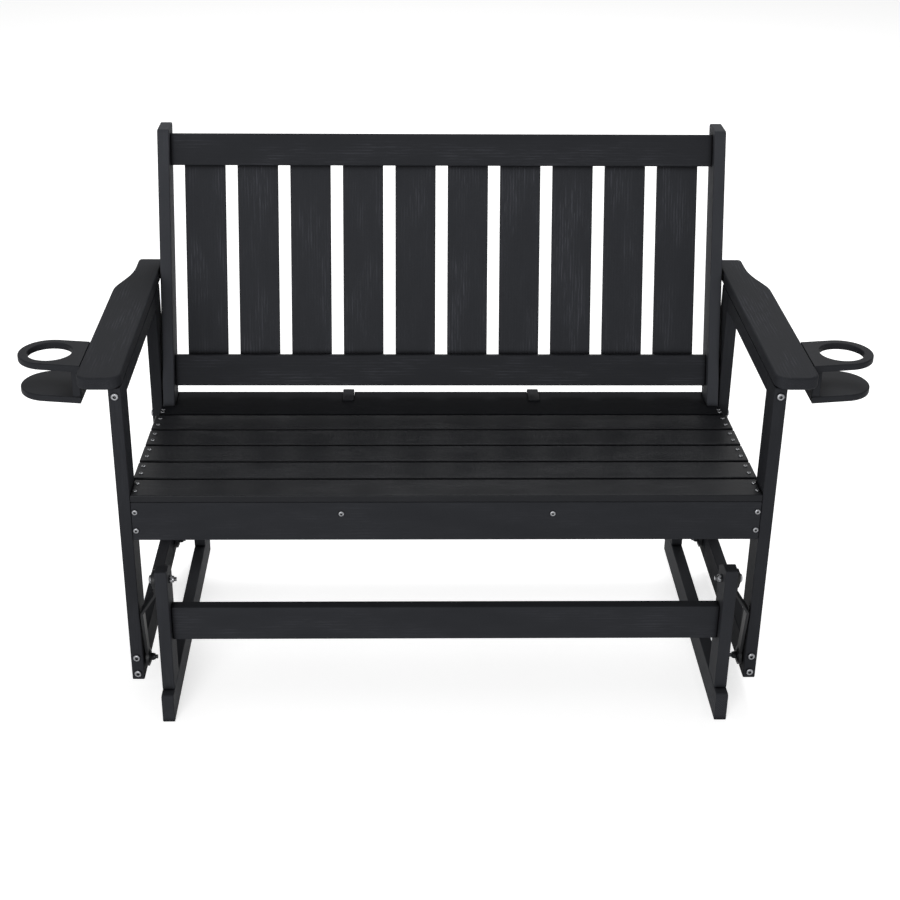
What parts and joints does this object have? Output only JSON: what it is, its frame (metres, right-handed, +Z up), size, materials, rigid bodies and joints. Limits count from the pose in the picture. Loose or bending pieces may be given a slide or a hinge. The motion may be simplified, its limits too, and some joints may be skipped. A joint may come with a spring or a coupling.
{
  "type": "glider bench",
  "caption": "Outdoor glider bench in poly lumber: slatted seat and leaning slatted back, arms with cup holders, hung from a low floor base on swinging steel links.",
  "frame": {"origin": "on the floor, midway between the sides and midway between the foremost and rearmost points", "axes": "+X along the bench, to the right as seen from the front; +Y from the seat's front to its back; +Z up"},
  "size_m": [1.468, 0.697, 0.907],
  "materials": {
    "poly_lumber": "matte charcoal poly lumber with embossed wood grain",
    "cup_holder_plastic": "matte black moulded plastic",
    "link_steel": "black powder coat",
    "bearing_steel": "plain bearing steel",
    "stainless": "bright stainless steel"
  },
  "bodies": {
    "base": {"base_screws": "stainless", "front_cross_rail": "poly_lumber", "left_front_upright": "poly_lumber", "left_rear_upright": "poly_lumber", "left_runner": "poly_lumber", "rear_cross_rail": "poly_lumber", "right_front_upright": "poly_lumber", "right_rear_upright": "poly_lumber", "right_runner": "poly_lumber", "upper_pivot_bolts": "stainless"},
    "front_left_link": {"left_front_link": "link_steel", "left_front_bearings": "bearing_steel"},
    "front_right_link": {"right_front_link": "link_steel", "right_front_bearings": "bearing_steel"},
    "rear_left_link": {"left_rear_link": "link_steel", "left_rear_bearings": "bearing_steel"},
    "rear_right_link": {"right_rear_link": "link_steel", "right_rear_bearings": "bearing_steel"},
    "seat": {"back_bottom_rail": "poly_lumber", "back_screws": "stainless", "back_slat_1": "poly_lumber", "back_slat_10": "poly_lumber", "back_slat_2": "poly_lumber", "back_slat_3": "poly_lumber", "back_slat_4": "poly_lumber", "back_slat_5": "poly_lumber", "back_slat_6": "poly_lumber", "back_slat_7": "poly_lumber", "back_slat_8": "poly_lumber", "back_slat_9": "poly_lumber", "back_top_rail": "poly_lumber", "frame_screws": "stainless", "front_apron": "poly_lumber", "left_arm_rail": "poly_lumber", "left_armrest": "poly_lumber", "left_back_post": "poly_lumber", "left_cup_holder": "cup_holder_plastic", "left_front_leg": "poly_lumber", "left_lower_rail": "poly_lumber", "left_middle_stringer": "poly_lumber", "left_rear_leg": "poly_lumber", "left_side_stringer": "poly_lumber", "lower_pivot_bolts": "stainless", "rear_apron": "poly_lumber", "right_arm_rail": "poly_lumber", "right_armrest": "poly_lumber", "right_back_post": "poly_lumber", "right_cup_holder": "cup_holder_plastic", "right_front_leg": "poly_lumber", "right_lower_rail": "poly_lumber", "right_middle_stringer": "poly_lumber", "right_rear_leg": "poly_lumber", "right_side_stringer": "poly_lumber", "seat_rear_board": "poly_lumber", "seat_screws": "stainless", "seat_slat_1": "poly_lumber", "seat_slat_2": "poly_lumber", "seat_slat_3": "poly_lumber", "seat_slat_4": "poly_lumber", "seat_slat_5": "poly_lumber"}
  },
  "joints": [
    {"name": "glide", "type": "hinge", "parent": "base", "child": "front_left_link", "pos_m": [-0.5118, -0.29646, 0.267], "axis": [1, 0, 0], "range_deg": [-15, 15]},
    {"name": "seat_level", "type": "hinge", "parent": "front_left_link", "child": "seat", "pos_m": [-0.5402, -0.25446, 0.078], "axis": [1, 0, 0], "range_deg": [-18.1, 18.1]},
    {"name": "front_right_swing", "type": "hinge", "parent": "base", "child": "front_right_link", "pos_m": [0.5118, -0.29646, 0.267], "axis": [1, 0, 0], "range_deg": [-15, 15]},
    {"name": "rear_left_swing", "type": "hinge", "parent": "base", "child": "rear_left_link", "pos_m": [-0.5118, 0.21954, 0.267], "axis": [1, 0, 0], "range_deg": [-15.1, 15.1]},
    {"name": "rear_right_swing", "type": "hinge", "parent": "base", "child": "rear_right_link", "pos_m": [0.5118, 0.21954, 0.267], "axis": [1, 0, 0], "range_deg": [-15.1, 15.1]}
  ],
  "couplings": [
    {"joint": "seat_level", "follows": "glide", "ratio": -1.201},
    {"joint": "front_right_swing", "follows": "glide", "ratio": 1},
    {"joint": "rear_left_swing", "follows": "glide", "ratio": 1.0057},
    {"joint": "rear_right_swing", "follows": "glide", "ratio": 1.0057}
  ]
}
